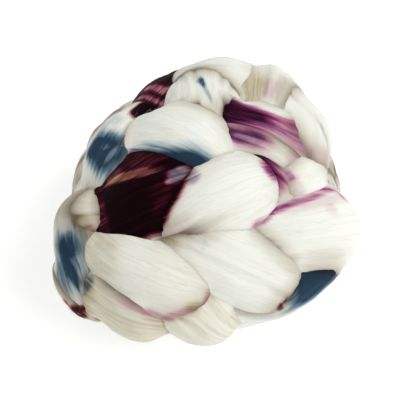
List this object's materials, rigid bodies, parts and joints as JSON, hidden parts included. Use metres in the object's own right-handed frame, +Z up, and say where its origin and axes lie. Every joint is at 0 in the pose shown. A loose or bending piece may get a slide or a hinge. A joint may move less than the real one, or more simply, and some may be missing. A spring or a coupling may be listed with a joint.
{
  "type": "wool roving",
  "caption": "Hand-dyed combed wool top, chain-stitched on itself and coiled into a round nest that rests on a small flat spot.",
  "frame": {"origin": "middle of the flat spot that the nest rests on", "axes": "+Z up, -Y towards the front of the nest, where the V of the first stitch opens to +X"},
  "size_m": [0.1784, 0.2019, 0.1546],
  "materials": {
    "wool": "soft combed fibre, cream with navy, plum and wine dye"
  },
  "bodies": {
    "root": {"roving": "wool"}
  },
  "joints": []
}
